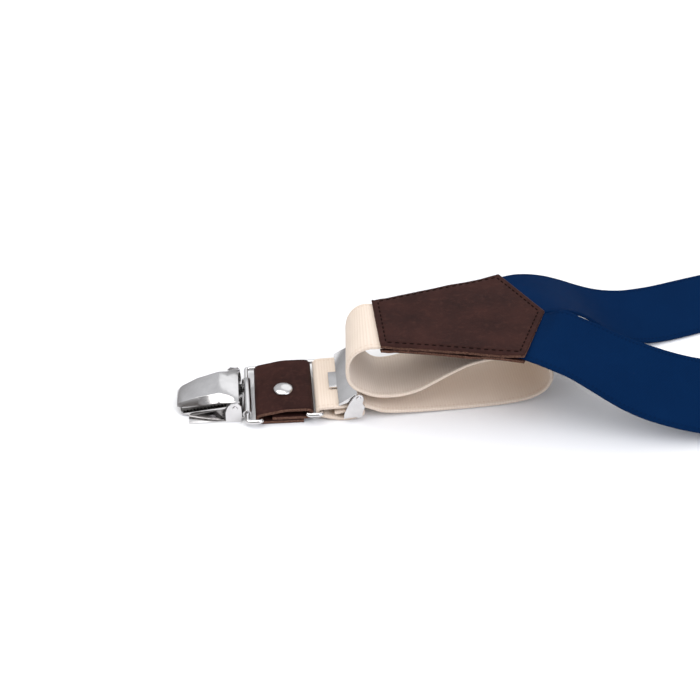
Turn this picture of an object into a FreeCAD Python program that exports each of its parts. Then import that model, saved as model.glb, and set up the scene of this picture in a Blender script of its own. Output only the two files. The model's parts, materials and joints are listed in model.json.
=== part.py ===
"""Clip-on suspenders with a Y-shaped back: one rear strap, two front straps and three clip ends.

Millimetres, +Z up.  The suspenders lie on a flat surface at Z = 0, rear clip towards -X and the
front clips towards +X.  The origin is the middle of the footprint, on that surface.

Every clip end is the same hardware, drawn once in an end frame: its origin is under the strap
bar of the strap ring, +X points along the strap towards the junction, +Y across the strap.
"""
import FreeCAD, Part
import math
import os
import Sketcher

from FreeCAD import Placement, Rotation, Vector

os.makedirs("parts", exist_ok=True)
doc = FreeCAD.newDocument("suspenders")

# ---------------------------------------------------------------- driving dimensions
SIZES = {
    # elastic straps
    "strap_width": 34.6, "strap_thick": 1.4, "bend_gap": 0.25,
    # rings of round wire
    "wire_radius": 1.0, "ring_pitch": 6.4, "ring_half_span": 18.5, "ring_corner": 1.6,
    "strap_ring_height": 5.0, "clip_ring_height": 3.0,
    # leather tab between the rings
    "leather_thick": 1.6, "tab_width": 34.4, "tab_pitch": 19.5, "rivet_back": 16.2,
    "rivet_side": -3.4, "rivet_radius": 4.2, "rivet_rise": 1.3,
    "rivet_seat": 7.7, "rivet_post_radius": 1.6, "rivet_foot_radius": 3.2,
    # strap adjuster
    "adjuster_bar_x": 15.8, "adjuster_bar_height": 3.9, "adjuster_pin_x": 15.6,
    "adjuster_pin_height": 13.2, "ear_inside": 18.0, "ear_thick": 0.9, "pin_radius": 1.0,
    "pin_clearance": 0.06, "pin_overhang": 0.4, "front_bar_x": 10.4, "front_bar_height": 3.0,
    "front_bar_radius": 0.7, "flap_thick": 0.9, "flap_width": 34.8, "tongue_width": 10.4,
    # clip
    "clip_length": 30.2, "clip_width": 26.0, "clip_nose_width": 13.0, "sheet_thick": 0.8,
    "clip_pin_back": 5.1, "clip_pin_height": 7.6, "barrel_radius": 2.0, "barrel_width": 23.0,
    "barrel_play": 0.16, "cover_thick": 0.64, "jaw_slope": 0.30, "tooth_pitch": 1.5,
    "tooth_depth": 1.0, "grip_thick": 1.5,
    # leather junction: a pentagon, narrow end towards the rear strap
    "patch_narrow": 36.5, "patch_wide": 66.4, "patch_shoulder": 58.4, "patch_length": 73.0,
    "patch_tilt": 0.8, "patch_roll": 4.8, "patch_turn": 5.3, "patch_x": 11.1, "patch_y": 4.5,
    "patch_height": 39.8,
}

# reach of a cut that goes past the part's sides, and the depth of a cut right through it
FAR_OUT = 30.0
THROUGH = "60"

sheet = doc.addObject("Spreadsheet::Sheet", "sizes")
for row, (alias, size) in enumerate(SIZES.items(), start=1):
    sheet.set("A%d" % row, alias)
    sheet.set("B%d" % row, str(size))
    sheet.setAlias("B%d" % row, alias)
doc.recompute()


def size(alias):
    """A driving dimension, read from the sheet."""
    return float(sheet.get(alias))


# Where each clip end lies: point under the strap bar, turn of the end about Z, and how far
# its rings, tab and clip have slid along their bars.
ENDS = {
    "rear": {"at": Vector(-13.2, 2.6, 0), "turn": 4.0,
             "slid": {"strap_ring": 0.0, "tab": -0.3, "clip_ring": -0.5, "clip": -2.1}},
    "right": {"at": Vector(640.0, -37.5, 0), "turn": 177.0,
              "slid": {"strap_ring": 0.0, "tab": 0.0, "clip_ring": 0.0, "clip": 0.8}},
    "left": {"at": Vector(590.0, 252.6, 0), "turn": 203.5,
             "slid": {"strap_ring": 0.0, "tab": 0.0, "clip_ring": 0.0, "clip": -0.6}},
}

subparts = []


def end_placement(end, piece=None):
    """Placement of an end frame, slid sideways for the pieces that hang on its bars."""
    side = ENDS[end]["slid"].get(piece, 0.0)
    frame = Placement(ENDS[end]["at"], Rotation(Vector(0, 0, 1), ENDS[end]["turn"]))
    return frame.multiply(Placement(Vector(0, side, 0), Rotation()))


# ---------------------------------------------------------------- small drawing helpers
def new_body(label):
    body = doc.addObject("PartDesign::Body", label)
    body.Label = label
    subparts.append(body)
    return body


def new_sketch(body, name, role, offset=0.0):
    """A sketch on one of the body's own origin planes, moved along the plane's normal."""
    sketch = body.newObject("Sketcher::SketchObject", name)
    plane = [f for f in body.Origin.OriginFeatures if f.Role == role][0]
    sketch.AttachmentSupport = [(plane, "")]
    sketch.MapMode = "FlatFace"
    sketch.AttachmentOffset = Placement(Vector(0, 0, offset), Rotation())
    return sketch


def draw_outline(sketch, points):
    """A closed outline of straight lines through the points."""
    first = sketch.GeometryCount
    count = len(points)
    for i in range(count):
        start = Vector(*points[i], 0)
        finish = Vector(*points[(i + 1) % count], 0)
        sketch.addGeometry(Part.LineSegment(start, finish), False)
    for i in range(count):
        sketch.addConstraint(Sketcher.Constraint("Coincident", first + i, 2, first + (i + 1) % count, 1))


def draw_circle(sketch, x, y, radius_expression):
    """A circle whose radius is bound to the sheet."""
    index = sketch.addGeometry(Part.Circle(Vector(x, y, 0), Vector(0, 0, 1), 1.0), False)
    number = sketch.addConstraint(Sketcher.Constraint("Radius", index, 1.0))
    sketch.addConstraint(Sketcher.Constraint("DistanceX", -1, 1, index, 3, x))
    sketch.addConstraint(Sketcher.Constraint("DistanceY", -1, 1, index, 3, y))
    sketch.setExpression("Constraints[%d]" % number, radius_expression)


def pad(body, name, sketch, length_expression, symmetric=True):
    feature = body.newObject("PartDesign::Pad", name)
    feature.Profile = sketch
    feature.SideType = "Symmetric" if symmetric else "One side"
    feature.setExpression("Length", length_expression)
    sketch.Visibility = False
    return feature


def pocket(body, name, sketch, length_expression):
    feature = body.newObject("PartDesign::Pocket", name)
    feature.Profile = sketch
    feature.SideType = "Symmetric"
    feature.setExpression("Length", length_expression)
    sketch.Visibility = False
    return feature


def solid_feature(label, shape, placement=Placement()):
    """A sub-part whose shape is worked out by this script."""
    feature = doc.addObject("Part::Feature", label)
    feature.Label = label
    feature.Shape = shape
    feature.Placement = placement
    subparts.append(feature)
    return feature


def arc_points(x, z, radius, first, last):
    """Points every 45 degrees round a bar at (x, z), seen from the side."""
    steps = int(round(abs(last - first) / 45.0))
    angles = [math.radians(first + (last - first) * i / steps) for i in range(steps + 1)]
    return [(x + radius * math.cos(a), z + radius * math.sin(a)) for a in angles]


# ---------------------------------------------------------------- bands: straps and leather strips
def smooth(stations, steps=4):
    """Catmull-Rom curve through the stations, each a tuple of numbers."""
    padded = [stations[0]] + list(stations) + [stations[-1]]
    points = []
    for i in range(1, len(padded) - 2):
        before, here, there, after = padded[i - 1:i + 3]
        for k in range(steps):
            t = k / steps
            weights = (-t + 2 * t ** 2 - t ** 3, 2 - 5 * t ** 2 + 3 * t ** 3,
                       t + 4 * t ** 2 - 3 * t ** 3, -t ** 2 + t ** 3)
            points.append(tuple(0.5 * (weights[0] * a + weights[1] * b + weights[2] * c + weights[3] * d)
                                for a, b, c, d in zip(before, here, there, after)))
    points.append(tuple(stations[-1]))
    return points


def ruled_face(first, second):
    """Straight-ruled face between two curves that share their knots."""
    surface = Part.BSplineSurface()
    surface.buildFromPolesMultsKnots([first.getPoles(), second.getPoles()], [2, 2],
                                     first.getMultiplicities(), [0, 1], first.getKnots(),
                                     False, False, 1, first.Degree)
    return surface.toShape()


def band_solid(stations, width, thick):
    """A flat band along stations (x, y, z, heading, tilt): its width lies square to the heading,
    in degrees about Z, and the tilt lifts its left edge."""
    points = smooth(stations)
    centres = [Vector(*p[:3]) for p in points]
    corners = [[], [], [], []]
    for i, point in enumerate(points):
        along = (centres[min(i + 1, len(points) - 1)] - centres[max(i - 1, 0)]).normalize()
        heading = math.radians(point[3])
        tilt = math.radians(point[4])
        level = Vector(-math.sin(heading), math.cos(heading), 0)
        upright = along.cross(level).normalize()
        across = level * math.cos(tilt) + upright * math.sin(tilt)
        face = along.cross(across).normalize()
        for corner, (side, skin) in enumerate(((1, 1), (-1, 1), (-1, -1), (1, -1))):
            corners[corner].append(centres[i] + across * (side * width / 2) + face * (skin * thick / 2))
    curves = []
    for row in corners:
        curve = Part.BSplineCurve()
        curve.interpolate(Points=row, Parameters=[float(k) for k in range(len(row))])
        curves.append(curve)
    faces = [ruled_face(curves[i], curves[(i + 1) % 4]) for i in range(4)]
    for end in (0, -1):
        rim = [row[end] for row in corners]
        faces.append(Part.Face(Part.makePolygon(rim + rim[:1])))
    shell = Part.makeShell(faces)
    shell.sewShape()
    solid = Part.makeSolid(shell)
    if solid.Volume < 0:
        solid.reverse()
    return solid


def end_strap_stations(end, heading):
    """The strap in an end frame, from just before the adjuster to its sewn tail: over the adjuster
    bar, round the strap bar of the ring, back underneath and up round the adjuster bar."""
    fold = size("wire_radius") + size("bend_gap") + size("strap_thick") / 2
    bar_x = size("adjuster_bar_x")
    bar_z = size("adjuster_bar_height")
    ring_z = size("strap_ring_height")
    side_view = [(27.0, 4.0), (22.5, 5.7), (18.7, 7.3), (bar_x, 7.75), (10.0, 7.45), (5.0, 7.25)]
    side_view += arc_points(0.0, ring_z, fold, 90, 270)
    side_view += [(4.5, 1.6), (8.5, 0.9), (11.8, 0.9)]
    side_view += arc_points(bar_x, bar_z, fold, -90, 90)
    side_view += [(12.4, 5.45), (9.0, 4.75), (5.5, 4.2)]
    frame = end_placement(end)
    stations = []
    for x, z in side_view:
        place = frame.multVec(Vector(x, 0, z))
        stations.append((place.x, place.y, place.z, heading, 0.0))
    return stations


# ---------------------------------------------------------------- straps
# Stations (x, y, z, heading, tilt) from inside the leather junction to where the end begins.
REAR_STRAP = [
    (35.0, 6.5, 37.8, 185.3, 4.8), (23.1, 5.4, 37.6, 185.3, 4.8), (13.1, 4.5, 37.5, 185.3, 4.8),
    (6.8, 4.0, 37.6, 183.5, 4.2), (2.2, 3.7, 35.2, 182.5, 3.7), (-0.5, 3.4, 30.8, 182.0, 2.7),
    (-1.2, 3.4, 25.6, 182.0, 1.7), (-0.3, 3.4, 20.4, 182.0, 0.3), (3.6, 3.7, 15.9, 182.3, 0),
    (11.2, 4.4, 12.6, 183.0, 0), (20.0, 5.6, 12.0, 184.0, 0), (29.0, 7.2, 13.8, 185.0, 0),
    (39.5, 9.0, 20.0, 186.0, 0),
    (49.0, 10.8, 24.5, 187.0, 0), (59.0, 12.0, 26.9, 188.0, 0), (68.5, 13.0, 27.9, 188.0, 0),
    (77.0, 13.8, 26.2, 188.0, 0), (83.0, 14.4, 21.2, 188.0, 0), (85.2, 14.7, 14.6, 188.0, 0),
    (83.0, 14.5, 8.4, 188.0, 0), (77.0, 13.9, 4.2, 188.0, 0), (66.5, 12.8, 2.0, 188.0, 0),
    (50.0, 10.5, 1.5, 188.0, 0), (34.0, 8.1, 1.8, 187.0, 0), (21.5, 6.0, 2.7, 185.5, 0),
]
RIGHT_STRAP = [
    (69.7, -2.8, 39.3, -21.1, -4.4), (78.1, -6.0, 39.7, -21.1, -4.2), (86.5, -9.0, 40.0, -16.6, 2.5),
    (95.0, -11.3, 38.1, -13.4, 9.1), (103.1, -13.1, 34.5, -11, 13), (110.9, -14.5, 30.4, -8.9, 17),
    (118.9, -15.6, 26.5, -6.5, 22), (127.2, -16.3, 23.0, -3.6, 26), (135.9, -16.6, 19.9, 0, 27.7),
    (144.5, -16.3, 17.1, 2, 28.6), (153.5, -15.6, 14.6, 2, 28.6), (167.0, -15.1, 11.3, 1, 25),
    (185.0, -14.9, 7.2, 0, 17), (205.0, -15.2, 3.9, -2, 9), (230.0, -16.2, 1.7, -3, 3),
    (262.0, -17.8, 0.9, -3, 0), (320.0, -20.8, 0.75, -3, 0), (400.0, -25.0, 0.75, -3, 0),
    (480.0, -29.2, 0.75, -3, 0), (550.0, -32.9, 0.75, -3, 0), (588.0, -34.8, 0.95, -3, 0),
    (602.0, -35.5, 2.3, -3, 0),
]
LEFT_STRAP = [
    (67.4, 22.1, 37.2, 31.9, -4.4), (75.0, 26.9, 37.0, 31.9, -4.2), (82.4, 31.6, 35.0, 32.4, -2.3),
    (89.5, 36.0, 31.5, 30.7, -1), (96.3, 39.9, 27.0, 27.7, 0.2), (102.9, 43.1, 21.8, 24.4, 1.8),
    (109.5, 45.9, 16.3, 22, 4.3), (116.5, 48.6, 11.4, 20.7, 6.8), (124.1, 51.4, 7.6, 20, 8.8),
    (132.4, 54.5, 5.2, 20.4, 9), (140.7, 57.6, 4.1, 21, 8.9), (149.0, 60.8, 3.7, 22, 8),
    (157.4, 64.3, 3.5, 23, 7.5), (172.0, 70.7, 3.1, 23.5, 6), (196.0, 81.2, 2.1, 23.5, 3),
    (226.0, 94.3, 1.0, 23.5, 0), (290.0, 122.1, 0.75, 23.5, 0), (370.0, 156.9, 0.75, 23.5, 0),
    (450.0, 191.7, 0.75, 23.5, 0), (510.0, 217.8, 0.75, 23.5, 0), (542.5, 231.9, 0.95, 23.5, 0),
    (555.2, 237.5, 2.3, 23.5, 0),
]
STRAPS = {
    "rear": ("rear_strap", REAR_STRAP, 184.0),
    "right": ("right_front_strap", RIGHT_STRAP, -3.0),
    "left": ("left_front_strap", LEFT_STRAP, 23.5),
}


def patch_placement():
    """The leather junction's top face: origin at the middle of its narrow edge."""
    turn = Rotation(Vector(0, 0, 1), size("patch_turn"))
    lift = Rotation(Vector(0, 1, 0), -size("patch_tilt"))
    roll = Rotation(Vector(1, 0, 0), -size("patch_roll"))
    place = Vector(size("patch_x"), size("patch_y"), size("patch_height"))
    return Placement(place, turn.multiply(lift).multiply(roll))


def leather_spaces():
    """The room that the junction's two leather layers take up, with a little play."""
    play = 0.03
    thick = size("leather_thick")
    core = size("strap_thick")
    outline = [Vector(x, y, 0) for x, y in patch_outline(-play)]
    spaces = []
    for depth in (-thick - play, -2 * thick - core - play):
        face = Part.Face(Part.makePolygon(outline + outline[:1]))
        space = face.extrude(Vector(0, 0, thick + 2 * play))
        space.translate(Vector(0, 0, depth))
        space.Placement = patch_placement().multiply(space.Placement)
        spaces.append(space)
    return spaces


def mitre_space(end):
    """The other front strap's side of the junction's centre line: the two are cut to meet there."""
    block = 80.0
    gap = 0.1
    side = gap - block if end == "left" else -gap
    space = Part.makeBox(block, block, block, Vector(0, side, -block / 2))
    space.Placement = patch_placement()
    return space


def make_straps():
    width = size("strap_width")
    thick = size("strap_thick")
    for end, (label, stations, heading) in STRAPS.items():
        solid = band_solid(stations + end_strap_stations(end, heading), width, thick)
        for space in leather_spaces():
            solid = solid.cut(space)
        if end != "rear":
            solid = solid.cut(mitre_space(end))
        solid_feature(label, solid)


# ---------------------------------------------------------------- leather junction
def patch_outline(inset=0.0):
    """The pentagon, drawn in from the leather's edge by the inset."""
    narrow = size("patch_narrow") / 2 - inset
    wide = size("patch_wide") / 2 - inset
    shoulder = size("patch_shoulder") - inset * 0.3
    tip = size("patch_length") - inset * 1.1
    return [(inset, -narrow), (shoulder, -wide), (tip, 0.0), (shoulder, wide), (inset, narrow)]


def make_junction():
    thick = size("leather_thick")
    core = size("strap_thick")
    layers = {
        "junction_front_leather": (-thick, patch_outline(), "sizes.leather_thick"),
        "junction_back_leather": (-2 * thick - core, patch_outline(), "sizes.leather_thick"),
        # the filler lies between the sewn-in ends of the straps
        "junction_filler": (-thick - core, filler_outline(), "sizes.strap_thick"),
    }
    for label, (depth, outline, thickness) in layers.items():
        body = new_body(label)
        drawing = new_sketch(body, label + "_outline", "XY_Plane", depth)
        draw_outline(drawing, outline)
        pad(body, label + "_pad", drawing, thickness, symmetric=False)
        body.Placement = patch_placement()


def filler_outline():
    start = 24.6
    finish = 48.6
    inset = 0.6
    flare = (size("patch_wide") - size("patch_narrow")) / 2 / size("patch_shoulder")
    near = size("patch_narrow") / 2 + flare * start - inset
    far = size("patch_narrow") / 2 + flare * finish - inset
    return [(start, -near), (finish, -far), (finish, far), (start, near)]


# ---------------------------------------------------------------- rings
def make_ring(end, piece, strap_side_x, height):
    """A rectangular loop of round wire, its two long bars one ring pitch apart."""
    body = new_body("%s_%s" % (end, piece))
    path = new_sketch(body, body.Label + "_path", "XY_Plane")
    pitch = size("ring_pitch")
    span = size("ring_half_span")
    corner = size("ring_corner")
    left = -pitch
    arcs = [((-corner, span - corner), 0), ((left + corner, span - corner), 90),
            ((left + corner, -span + corner), 180), ((-corner, -span + corner), 270)]
    lines = [((0, -span + corner), (0, span - corner)), ((-corner, span), (left + corner, span)),
             ((left, span - corner), (left, -span + corner)), ((left + corner, -span), (-corner, -span))]
    for (centre, start), (first, last) in zip(arcs, lines):
        path.addGeometry(Part.LineSegment(Vector(*first, 0), Vector(*last, 0)), False)
        circle = Part.Circle(Vector(*centre, 0), Vector(0, 0, 1), corner)
        path.addGeometry(Part.ArcOfCircle(circle, math.radians(start), math.radians(start + 90)), False)
    join_chain(path, 2 * len(lines))
    profile = new_sketch(body, body.Label + "_wire", "XZ_Plane")
    draw_circle(profile, 0.0, 0.0, "sizes.wire_radius")
    doc.recompute()
    edges = ["Edge%d" % (i + 1) for i in range(2 * len(lines))]
    pipe = body.newObject("PartDesign::AdditivePipe", body.Label + "_pipe")
    pipe.Profile = profile
    pipe.Spine = (path, edges)
    path.Visibility = False
    profile.Visibility = False
    shift = Placement(Vector(strap_side_x, 0, height), Rotation())
    body.Placement = end_placement(end, piece).multiply(shift)


def join_chain(sketch, count):
    """Ties the end of each path edge to the start of the next."""
    for i in range(count):
        sketch.addConstraint(Sketcher.Constraint("Coincident", i, 2, (i + 1) % count, 1))


# ---------------------------------------------------------------- leather tab and rivet
def make_tab(end):
    """A leather strip wrapped round both rings; its two tails overlap underneath."""
    thick = size("leather_thick")
    fold = size("wire_radius") + size("bend_gap") + thick / 2
    right_x = -size("ring_pitch")
    left_x = right_x - size("tab_pitch")
    right_z = size("strap_ring_height")
    left_z = size("clip_ring_height")
    rivet_x = -size("rivet_back")
    side_view = [(left_x + 4.4, 2.95), (rivet_x, 2.95), (right_x - 4.0, right_z - fold)]
    side_view += arc_points(right_x, right_z, fold, -90, 90)
    side_view += [(right_x - 4.6, right_z + fold + 0.1), (rivet_x, 7.0), (left_x + 4.6, 6.0)]
    side_view += arc_points(left_x, left_z, fold, 90, 270)
    side_view += [(left_x + 6.0, left_z - fold), (rivet_x, left_z - fold), (right_x - 1.5, left_z - fold)]
    strip = band_solid([(x, 0.0, z, 0.0, 0.0) for x, z in side_view], size("tab_width"), thick)
    post = size("rivet_post_radius")
    side = size("rivet_side")
    play = 0.1
    below = 5.0
    bores = [(post, -below, 20.0), (size("rivet_foot_radius"), -below, below + 0.7),
             (size("rivet_radius"), size("rivet_seat") - play, below)]
    for radius, start, length in bores:
        strip = strip.cut(Part.makeCylinder(radius + play, length, Vector(rivet_x, side, start)))
    solid_feature(end + "_leather_tab", strip, end_placement(end, "tab"))
    make_rivet(end, rivet_x, side)


def make_rivet(end, x, y):
    """Domed cap pressed a little into the leather, post through the three layers, and a foot
    sunk into the lowest one."""
    seat = size("rivet_seat")
    body = new_body(end + "_rivet")
    profile = new_sketch(body, body.Label + "_profile", "XZ_Plane")
    cap = size("rivet_radius")
    rise = size("rivet_rise")
    post = size("rivet_post_radius")
    foot = size("rivet_foot_radius")
    dome = [(cap * math.cos(math.radians(a)), seat + 0.35 + rise * math.sin(math.radians(a)))
            for a in (0, 25, 50, 72)]
    draw_outline(profile, [(0, 0.1), (foot, 0.1), (foot, 0.6), (post, 0.6), (post, seat + 0.05),
                           (cap, seat + 0.05)] + dome + [(0, seat + 0.35 + rise)])
    spin = body.newObject("PartDesign::Revolution", body.Label + "_spin")
    spin.Profile = profile
    spin.ReferenceAxis = (profile, ["V_Axis"])
    spin.Angle = 360
    profile.Visibility = False
    body.Placement = end_placement(end, "tab").multiply(Placement(Vector(x, y, 0), Rotation()))


# ---------------------------------------------------------------- strap adjuster
def draw_pin_hole(sketch, x, z):
    draw_circle(sketch, x, z, "sizes.pin_radius + sizes.pin_clearance")


def make_ears(body, outline, inside, thickness_alias, pin_x, pin_z):
    """Two upright cheeks across a frame, each bored for the pin."""
    thickness = "sizes." + thickness_alias
    for side, start in (("near", inside), ("far", -inside - size(thickness_alias))):
        drawing = new_sketch(body, "%s_%s_ear" % (body.Label, side), "XZ_Plane", start)
        draw_outline(drawing, outline)
        draw_pin_hole(drawing, pin_x, pin_z)
        pad(body, "%s_%s_ear_pad" % (body.Label, side), drawing, thickness, symmetric=False)


def make_pin(label, x, z, length_expression, length, placement):
    """A plain pin across an end, bound to the sheet."""
    pin = doc.addObject("Part::Cylinder", label)
    pin.Label = label
    pin.setExpression("Radius", "sizes.pin_radius")
    pin.setExpression("Height", length_expression)
    across = Placement(Vector(x, length / 2, z), Rotation(Vector(1, 0, 0), 90))
    pin.Placement = placement.multiply(across)
    subparts.append(pin)


def make_adjuster_frame(end):
    """Two ears joined by the bar that the strap turns round and by a thinner front bar."""
    frame = new_body(end + "_adjuster_frame")
    ear = [(9.2, 2.3), (9.6, 5.4), (11.2, 9.6), (13.6, 13.6), (14.6, 15.0), (16.2, 15.3), (17.5, 14.4),
           (17.8, 12.6), (17.3, 10.4), (18.4, 8.6), (17.4, 5.2), (17.3, 3.2), (16.4, 2.4), (14.2, 2.9)]
    make_ears(frame, ear, size("ear_inside"), "ear_thick", size("adjuster_pin_x"), size("adjuster_pin_height"))
    bars = {
        "strap_bar": (size("adjuster_bar_x"), size("adjuster_bar_height"), "sizes.wire_radius"),
        "front_bar": (size("front_bar_x"), size("front_bar_height"), "sizes.front_bar_radius"),
    }
    for name, (x, z, radius) in bars.items():
        drawing = new_sketch(frame, "%s_%s" % (frame.Label, name), "XZ_Plane")
        draw_circle(drawing, x, z, radius)
        pad(frame, "%s_%s_pad" % (frame.Label, name), drawing, "2 * (sizes.ear_inside + sizes.ear_thick / 2)")
    frame.Placement = end_placement(end)


def make_adjuster_flap(end):
    """The lever that clamps the strap: a plate with a tongue, rolled round the pin."""
    pin_x = size("adjuster_pin_x")
    pin_z = size("adjuster_pin_height")
    thick = size("flap_thick")
    tip_x, tip_z = 3.7, 8.35
    shoulder_x, shoulder_z = 7.2, 8.5
    flap = new_body(end + "_adjuster_flap")
    plate = new_sketch(flap, flap.Label + "_profile", "XZ_Plane")
    draw_outline(plate, [(tip_x, tip_z), (shoulder_x, shoulder_z), (pin_x - 0.7, pin_z - 1.75),
                         (16.7, 9.15), (17.1, 9.5), (17.15, pin_z - 0.2), (16.7, pin_z + 1.0),
                         (15.5, pin_z + 1.5), (14.2, pin_z + 1.0), (shoulder_x - 0.3, shoulder_z + thick),
                         (tip_x, tip_z + thick)])
    pad(flap, flap.Label + "_pad", plate, "sizes.flap_width")
    bore = new_sketch(flap, flap.Label + "_bore", "XZ_Plane")
    draw_pin_hole(bore, pin_x, pin_z)
    pocket(flap, flap.Label + "_bore_cut", bore, "sizes.flap_width * 2")
    sides = new_sketch(flap, flap.Label + "_tongue_sides", "XY_Plane")
    tongue = size("tongue_width") / 2
    beyond_tip = tip_x - 1.7
    for side in (1, -1):
        draw_outline(sides, [(beyond_tip, side * tongue), (shoulder_x, side * tongue),
                             (shoulder_x, side * FAR_OUT), (beyond_tip, side * FAR_OUT)])
    pocket(flap, flap.Label + "_tongue", sides, THROUGH)
    flap.Placement = end_placement(end)


def make_adjuster_pin(end):
    length = 2 * (size("ear_inside") + size("ear_thick") + size("pin_overhang"))
    make_pin(end + "_adjuster_pin", size("adjuster_pin_x"), size("adjuster_pin_height"),
             "2 * (sizes.ear_inside + sizes.ear_thick + sizes.pin_overhang)", length, end_placement(end))


# ---------------------------------------------------------------- clip
def clip_bar_x():
    """The clip ring's bar inside the clip's barrel."""
    return -2 * size("ring_pitch") - size("tab_pitch")


def nose_x():
    return clip_bar_x() - size("clip_length")


def clip_pin_x():
    return clip_bar_x() - size("clip_pin_back")


def taper_cut(body, name, front_half, back_half, back_x):
    """Trims both sides of a plate so that it narrows towards the nose."""
    drawing = new_sketch(body, name, "XY_Plane")
    start = nose_x() - 2
    for side in (1, -1):
        draw_outline(drawing, [(start, side * front_half), (back_x, side * back_half),
                               (back_x, side * FAR_OUT), (start, side * FAR_OUT)])
    pocket(body, name + "_cut", drawing, THROUGH)


def jaw_line(x):
    """Height of the lower jaw's underside, rising from the nose to the hinge."""
    return 0.5 + size("jaw_slope") * (x - nose_x() - 3)


def make_clip_base(end):
    """Bottom plate with two ears for the pin, rolled into a barrel round the clip ring's bar."""
    nose = nose_x()
    bar = clip_bar_x()
    ring_z = size("clip_ring_height")
    sheet_t = size("sheet_thick")
    pin_x = clip_pin_x()
    half = size("clip_width") / 2
    front = nose + 5.0
    base = new_body(end + "_clip_base")
    floor = new_sketch(base, base.Label + "_floor", "XZ_Plane")
    barrel_foot = ring_z - size("barrel_radius")
    draw_outline(floor, [(front, 0.0), (bar - 4.4, 0.0), (bar - 0.6, barrel_foot),
                         (bar - 0.6, barrel_foot + sheet_t), (bar - 4.8, sheet_t), (front, sheet_t)])
    pad(base, base.Label + "_floor_pad", floor, "sizes.barrel_width")
    wings = new_sketch(base, base.Label + "_wings", "XY_Plane")
    draw_outline(wings, [(front, -half), (bar - 4.4, -half), (bar - 4.4, half), (front, half)])
    pad(base, base.Label + "_wings_pad", wings, "sizes.sheet_thick", symmetric=False)
    ear = [(pin_x - 4.2, 0.0), (pin_x + 2.2, 0.0), (pin_x + 2.9, 3.0), (pin_x + 2.7, 8.6),
           (pin_x + 1.4, 10.0), (pin_x - 1.6, 10.0), (pin_x - 3.0, 8.9), (pin_x - 4.2, 5.5)]
    make_ears(base, ear, half - sheet_t, "sheet_thick", pin_x, size("clip_pin_height"))
    roll = new_sketch(base, base.Label + "_barrel", "XZ_Plane")
    draw_circle(roll, bar, ring_z, "sizes.barrel_radius")
    pad(base, base.Label + "_barrel_pad", roll, "sizes.barrel_width")
    bore = new_sketch(base, base.Label + "_barrel_bore", "XZ_Plane")
    draw_circle(bore, bar, ring_z, "sizes.wire_radius + sizes.barrel_play")
    pocket(base, base.Label + "_barrel_bore_cut", bore, THROUGH)
    base.Placement = end_placement(end, "clip")


def make_clip_jaw(end):
    """Sloping jaw plate that stands on the base; its front lip is bent up towards the teeth."""
    nose = nose_x()
    sheet_t = size("sheet_thick")
    front = nose + 1.6
    foot = nose + 7.2
    back = clip_pin_x() - 3.4
    seat = sheet_t + 0.02
    lip = 0.3
    jaw = new_body(end + "_clip_jaw")
    plate = new_sketch(jaw, jaw.Label + "_profile", "XZ_Plane")
    draw_outline(plate, [(front, seat), (foot, seat), (back, jaw_line(back)),
                         (back, jaw_line(back) + sheet_t), (front, jaw_line(front) + sheet_t + lip)])
    pad(jaw, jaw.Label + "_pad", plate, "sizes.clip_width - 2 * sizes.sheet_thick - 0.4")
    taper_cut(jaw, jaw.Label + "_taper", size("clip_nose_width") / 2, size("clip_width") / 2 - 1.6, clip_pin_x())
    jaw.Placement = end_placement(end, "clip")


def make_clip_grip(end):
    """Toothed strip under the cover."""
    pitch = size("tooth_pitch")
    root = 2.35
    start = nose_x() + 1.4
    count = int((clip_pin_x() - 1.8 - start) / pitch)
    points = []
    for i in range(count):
        x = start + i * pitch
        tip = x + pitch / 2
        points.append((x, jaw_line(x) + root))
        points.append((tip, jaw_line(tip) + root - size("tooth_depth")))
    last = start + count * pitch
    points.append((last, jaw_line(last) + root))
    points.append((last, jaw_line(last) + root + size("grip_thick")))
    points.append((start, jaw_line(start) + root + size("grip_thick")))
    grip = new_body(end + "_clip_grip")
    teeth = new_sketch(grip, grip.Label + "_profile", "XZ_Plane")
    draw_outline(teeth, points)
    pad(grip, grip.Label + "_pad", teeth, "sizes.clip_width")
    front_half = size("clip_nose_width") / 2 - 0.6
    taper_cut(grip, grip.Label + "_taper", front_half, size("clip_width") / 2 - 2.6, clip_pin_x())
    grip.Placement = end_placement(end, "clip")


def make_clip_pin(end):
    length = size("clip_width") + 2 * size("pin_overhang")
    make_pin(end + "_clip_pin", clip_pin_x(), size("clip_pin_height"),
             "sizes.clip_width + 2 * sizes.pin_overhang", length, end_placement(end, "clip"))


def cover_section(x, half_top, half_foot, top, foot, wall):
    """One cross-section of the cover, or of the hollow inside it when wall is above zero."""
    low = foot - (2.0 if wall else 0.0)
    spread = (half_foot - half_top) / (top - foot)
    half_low = half_foot + (foot - low) * spread - wall * 1.25
    points = [(x, -half_low, low), (x, -half_top + wall * 0.6, top - wall),
              (x, half_top - wall * 0.6, top - wall), (x, half_low, low)]
    return Part.makePolygon([Vector(*p) for p in points + points[:1]])


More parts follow.
